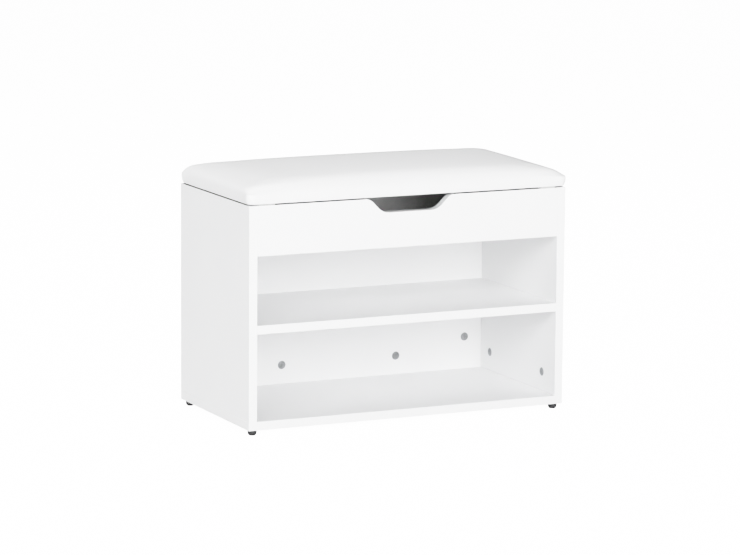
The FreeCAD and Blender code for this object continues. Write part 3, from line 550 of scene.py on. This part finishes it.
def pleat(made):
    """Steps the cloth up at each corner's pleat, sharp on its inner edge and fading upwards."""
    for end, width in PLEATS:
        for line in (width, width + PLEAT_STEP):
            bmesh.ops.bisect_plane(made, geom=made.verts[:] + made.edges[:] + made.faces[:],
                                   plane_co=(0, seat_middle.y + end * (seat_half.y - line), 0),
                                   plane_no=(0, 1, 0))
        for vert in made.verts:
            spot = vert.co - seat_middle
            height = (vert.co.z - seat_low.z) / PLEAT_HEIGHT
            across = inset(spot, 1) / width
            if spot.y * end > 0 and across < 1.01 and 0 < height < 1 and inset(spot, 0) < PLEAT_HEIGHT:
                lift = PLEAT_THICKNESS * max(0, across) * (1 - height ** 2)
                vert.co.x += math.copysign(lift, spot.x)


def seat_form():
    """The cushion's outside, as a closed form with its crown at the full height."""
    made = seat_blank()
    fill_out(made)
    round_off(made)
    draft = to_mesh(made.copy(), "seat_draft")
    for vert, place in zip(made.verts, settle(draft)):
        move = place - vert.co
        vert.co += move * min(1, SIM_LIMIT / max(move.length, MM / 100))
        vert.co.z = max(vert.co.z, min(place.z, seat_low.z + WALL_TOP + LEDGE))
    bpy.data.meshes.remove(draft)
    loose = [vert for vert in made.verts if vert.co.z > seat_low.z + SOFTEN_FROM]
    for _ in range(SOFTEN_ROUNDS):
        bmesh.ops.smooth_vert(made, verts=loose, factor=SOFTEN_SHARE,
                              use_axis_x=True, use_axis_y=True, use_axis_z=True)
    wall_top = seat_low.z + WALL_TOP
    crown = max(vert.co.z for vert in made.verts)
    for vert in made.verts:
        if vert.co.z > wall_top:
            vert.co.z = wall_top + (vert.co.z - wall_top) * (seat_high.z - wall_top) / (crown - wall_top)
    pleat(made)
    return to_mesh(made, "leather_form")


def let_in_hinges(form, name):
    """The form subdivided once, with room cut from its rear lower edge for each hinge's barrel."""
    cutter = bmesh.new()
    for side in SIDES:
        low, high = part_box("hinge_pin_" + side)
        middle = (low + high) / 2 + Vector((0, HINGE_OPENING, 0))
        size = (high.x - low.x + 2 * HINGE_END_ROOM, 2 * (HINGE_ROOM + HINGE_OPENING), 2 * HINGE_ROOM)
        into = Matrix.Translation(middle) @ Matrix.Diagonal((*size, 1))
        bmesh.ops.create_cube(cutter, size=1, matrix=into)
    tool = shown(to_mesh(cutter, "hinge_room"), "hinge_room")
    blank = shown(form, "leather_blank")
    blank.modifiers.new("subdivision", "SUBSURF").levels = 1
    cut = blank.modifiers.new("hinge_room", "BOOLEAN")
    cut.object = tool
    cut.solver = "EXACT"
    piece = shown(bpy.data.meshes.new_from_object(
        blank.evaluated_get(bpy.context.evaluated_depsgraph_get())), name)
    piece.data.name = name
    bpy.data.objects.remove(blank)
    bpy.data.objects.remove(tool)
    return piece


def leathercloth():
    """White coated cloth with a fine pebble grain, painted shade in the creases between pebbles and a soft
    random drift in tone.
    """
    leather = Finish("leathercloth", roughness=0.46, specular_ior_level=0.4, coat_weight=0.08)
    pebble = leather.cells(PEBBLE_SCALE, "SMOOTH_F1")
    crease = leather.ramp(pebble, (0.30, 0), (0.75, 1))
    drift = leather.noise(DRIFT_SCALE, 3.0)
    # Painted shade: the colour darkens in the creases between pebbles, and drifts at random across the
    # cloth.
    leather.set("Base Color", leather.blend(crease * 0.22 + drift * 0.10, LEATHER, LEATHER_SHADE_AND_DRIFT))
    leather.set("Roughness", 0.40 + 0.14 * crease + 0.06 * drift)
    leather.bump(1 - pebble, PEBBLE_DEPTH, 0.5)
    return leather


cover = let_in_hinges(seat_form(), "leather_cover")
cover.data.materials.clear()
cover.data.materials.append(leathercloth().material)
for polygon in cover.data.polygons:
    polygon.use_smooth = True
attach(cover, "lid")
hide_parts("seat_cover", "seat_foam")

# ---------------------------------------------------------------- dust cover
# A sheet of black spunbond cloth closes the seat's underside, drawn flat over the hems and stapled.
# It is bonded in a fine pattern of points and bellies very slightly between the staples.
SHEET_GRID = 4 * MM
SHEET_DIP = 0.25 * MM
STAPLE_PITCH = 48 * MM
BOND_PITCH = 1.6 * MM
DUST_BLACK = (0.028, 0.028, 0.030)
DUST_WEB = (0.085, 0.085, 0.088)
WEB_SCALE = 1500.0
WEB_DEPTH = 0.12 * MM


def drawn_sheet():
    """The sheet as a grid of quads through the middle of the CAD sheet, with a shallow belly."""
    low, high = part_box("seat_dust_cover")
    size = high - low
    middle = (low + high) / 2
    made = bmesh.new()
    counts = [round(length / SHEET_GRID) for length in size.xy]
    into = Matrix.Translation(middle) @ Matrix.Diagonal((*size.xy, 1, 1))
    bmesh.ops.create_grid(made, x_segments=counts[0], y_segments=counts[1], size=0.5, matrix=into)
    bmesh.ops.reverse_faces(made, faces=made.faces)
    for vert in made.verts:
        rim = min(size.x / 2 - abs(vert.co.x - middle.x), size.y / 2 - abs(vert.co.y - middle.y))
        ripple = math.cos(2 * math.pi * (vert.co.x + vert.co.y) / STAPLE_PITCH)
        loose = math.exp(-(rim / STAPLE_PITCH * 4 - 1) ** 2)
        vert.co.z -= SHEET_DIP * (0.5 + 0.5 * ripple) * loose * min(1, rim / (2 * SHEET_GRID))
    return to_mesh(made, "dust_sheet"), size


def spunbond():
    """Black bonded fibre: a tangled web with rows of pressed points."""
    dust = Finish("spunbond", roughness=0.9, sheen_weight=0.15)
    web = dust.noise(WEB_SCALE, 4.0)
    points = dust.cells(1 / BOND_PITCH)
    pressed = dust.ramp(points, (0.10, 1), (0.22, 0))
    dust.set("Base Color", dust.blend(dust.ramp(web, (0.4, 0), (0.65, 1)), DUST_BLACK, DUST_WEB))
    dust.set("Roughness", 0.92 - 0.3 * pressed)
    dust.bump(web * 0.6 - pressed, WEB_DEPTH, 0.8)
    return dust


dust_mesh, dust_size = drawn_sheet()
dust_sheet = shown(dust_mesh, "dust_sheet")
dust_sheet.data.materials.append(spunbond().material)
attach(dust_sheet, "lid")
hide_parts("seat_dust_cover")

# ---------------------------------------------------------------- staples
# Thirty-four staples of flat galvanised wire hold both cloths to the seat board. Each crown is
# scuffed by the gun that drove it.
STAPLE_ZINC = (0.60, 0.60, 0.60)
STAPLE_SCUFF = (0.34, 0.34, 0.33)
STAPLE_SCUFF_SCALE = 700.0
STAPLE_GRAIN_SCALE = 1200.0
STAPLE_DEPTH = 0.02 * MM

staple = Finish("staple_wire", metallic=1.0)
scuff = staple.ramp(staple.noise(STAPLE_SCUFF_SCALE, 3.0), (0.45, 0), (0.68, 1))
staple.set("Base Color", staple.blend(scuff * 0.8, STAPLE_ZINC, STAPLE_SCUFF))
staple.set("Roughness", 0.24 + 0.24 * scuff)
staple.bump(staple.noise(STAPLE_GRAIN_SCALE, 2.0), STAPLE_DEPTH, 0.6)
staple.dress("seat_staples")

# ---------------------------------------------------------------- studio
# A white sweep under four large softboxes: the largest in front, two on the left and one above and
# behind. Bright parts are rolled off softly, as film does, so that white keeps its detail.
FLOOR_COLOUR = (0.6, 0.6, 0.6)
FLOOR_SIZE = 40
FLOOR_GLOW = 0.19
ROOM_GLOW = 0.04
BACKDROP_GLOW = 4.0
SOFTBOXES = (
    ("front_softbox", (-0.65, -4.8, 1.7), (0, 0, 0.25), (3.0, 3.0), 500),
    ("left_softbox", (-3.6, -3.4, 2.2), (0, 0, 0.25), (2.4, 1.6), 185),
    ("side_softbox", (-4.6, 0.6, 1.6), (0, 0, 0.25), (2.4, 2.4), 120),
    ("rear_softbox", (0, 1.5, 3.4), (0, 0, 0.4), (3.5, 2.0), 150),
)
FILM_STOPS = (0, 0.25, 0.5, 0.75, 1, 1.5, 2, 3, 4, 6)
CAMERA_PLACE = Vector((-2.70013, -5.65893, 1.29603))
CAMERA_TURN = math.radians(25.472)
CAMERA_DIP = math.radians(9.645)
CAMERA_ROLL = math.radians(0.456)
LENS = 176.84
SENSOR = 36
FAR = 100

along = math.cos(CAMERA_DIP)
ahead = Vector((math.sin(CAMERA_TURN) * along, math.cos(CAMERA_TURN) * along, -math.sin(CAMERA_DIP)))
level = ahead.cross(Vector((0, 0, 1))).normalized()
above = level.cross(ahead)
right = math.cos(CAMERA_ROLL) * level + math.sin(CAMERA_ROLL) * above
up = math.cos(CAMERA_ROLL) * above - math.sin(CAMERA_ROLL) * level
view = bpy.data.cameras.new("camera")
view.lens = LENS
view.sensor_width = SENSOR
view.sensor_fit = "HORIZONTAL"
view.clip_end = FAR
camera = bpy.data.objects.new("camera", view)
turned = Matrix((right, up, -ahead)).transposed().to_4x4()
camera.matrix_world = Matrix.Translation(CAMERA_PLACE) @ turned
scene.collection.objects.link(camera)
scene.camera = camera

made = bmesh.new()
bmesh.ops.create_grid(made, x_segments=1, y_segments=1, size=FLOOR_SIZE)
floor = shown(to_mesh(made, "studio_floor"), "studio_floor")
sweep = Finish("studio_floor", base_color=FLOOR_COLOUR, roughness=0.9, specular_ior_level=0.0,
               emission_strength=FLOOR_GLOW + BACKDROP_GLOW)
dim = FLOOR_GLOW / (FLOOR_GLOW + BACKDROP_GLOW)
sweep.set("Emission Color", sweep.blend(sweep.node("LightPath", {}, {}), (dim, dim, dim), (1.0, 1.0, 1.0)))
floor.data.materials.append(sweep.material)

world = bpy.data.worlds.new("studio")
world.use_nodes = True
room = world.node_tree
glow = room.nodes["Background"]
glow.inputs["Color"].default_value = (1, 1, 1, 1)
seen = room.nodes.new("ShaderNodeMapRange")
seen.inputs["To Min"].default_value = ROOM_GLOW
seen.inputs["To Max"].default_value = ROOM_GLOW + 2 * BACKDROP_GLOW
room.links.new(room.nodes.new("ShaderNodeLightPath").outputs["Is Camera Ray"], seen.inputs["Value"])
room.links.new(seen.outputs["Result"], glow.inputs["Strength"])
scene.world = world


def softbox(name, place, aim, size, watts):
    """A large rectangular lamp at a place, turned to face its aim."""
    lamp = bpy.data.lights.new(name, "AREA")
    lamp.shape = "RECTANGLE"
    lamp.size, lamp.size_y = size
    lamp.energy = watts
    box = bpy.data.objects.new(name, lamp)
    box.location = place
    box.rotation_euler = (Vector(aim) - Vector(place)).to_track_quat("-Z", "Y").to_euler()
    scene.collection.objects.link(box)


for lamp_facts in SOFTBOXES:
    softbox(*lamp_facts)

film = scene.view_settings
film.view_transform = "Standard"
film.use_curve_mapping = True
film.curve_mapping.use_clip = False
film.curve_mapping.extend = "HORIZONTAL"
for curve in film.curve_mapping.curves[:3]:
    curve.points[0].location = (0, 0)
    curve.points[-1].location = (FILM_STOPS[-1], 1 - math.exp(-FILM_STOPS[-1]))
    for stop in FILM_STOPS[1:-1]:
        curve.points.new(stop, 1 - math.exp(-stop))
film.curve_mapping.update()
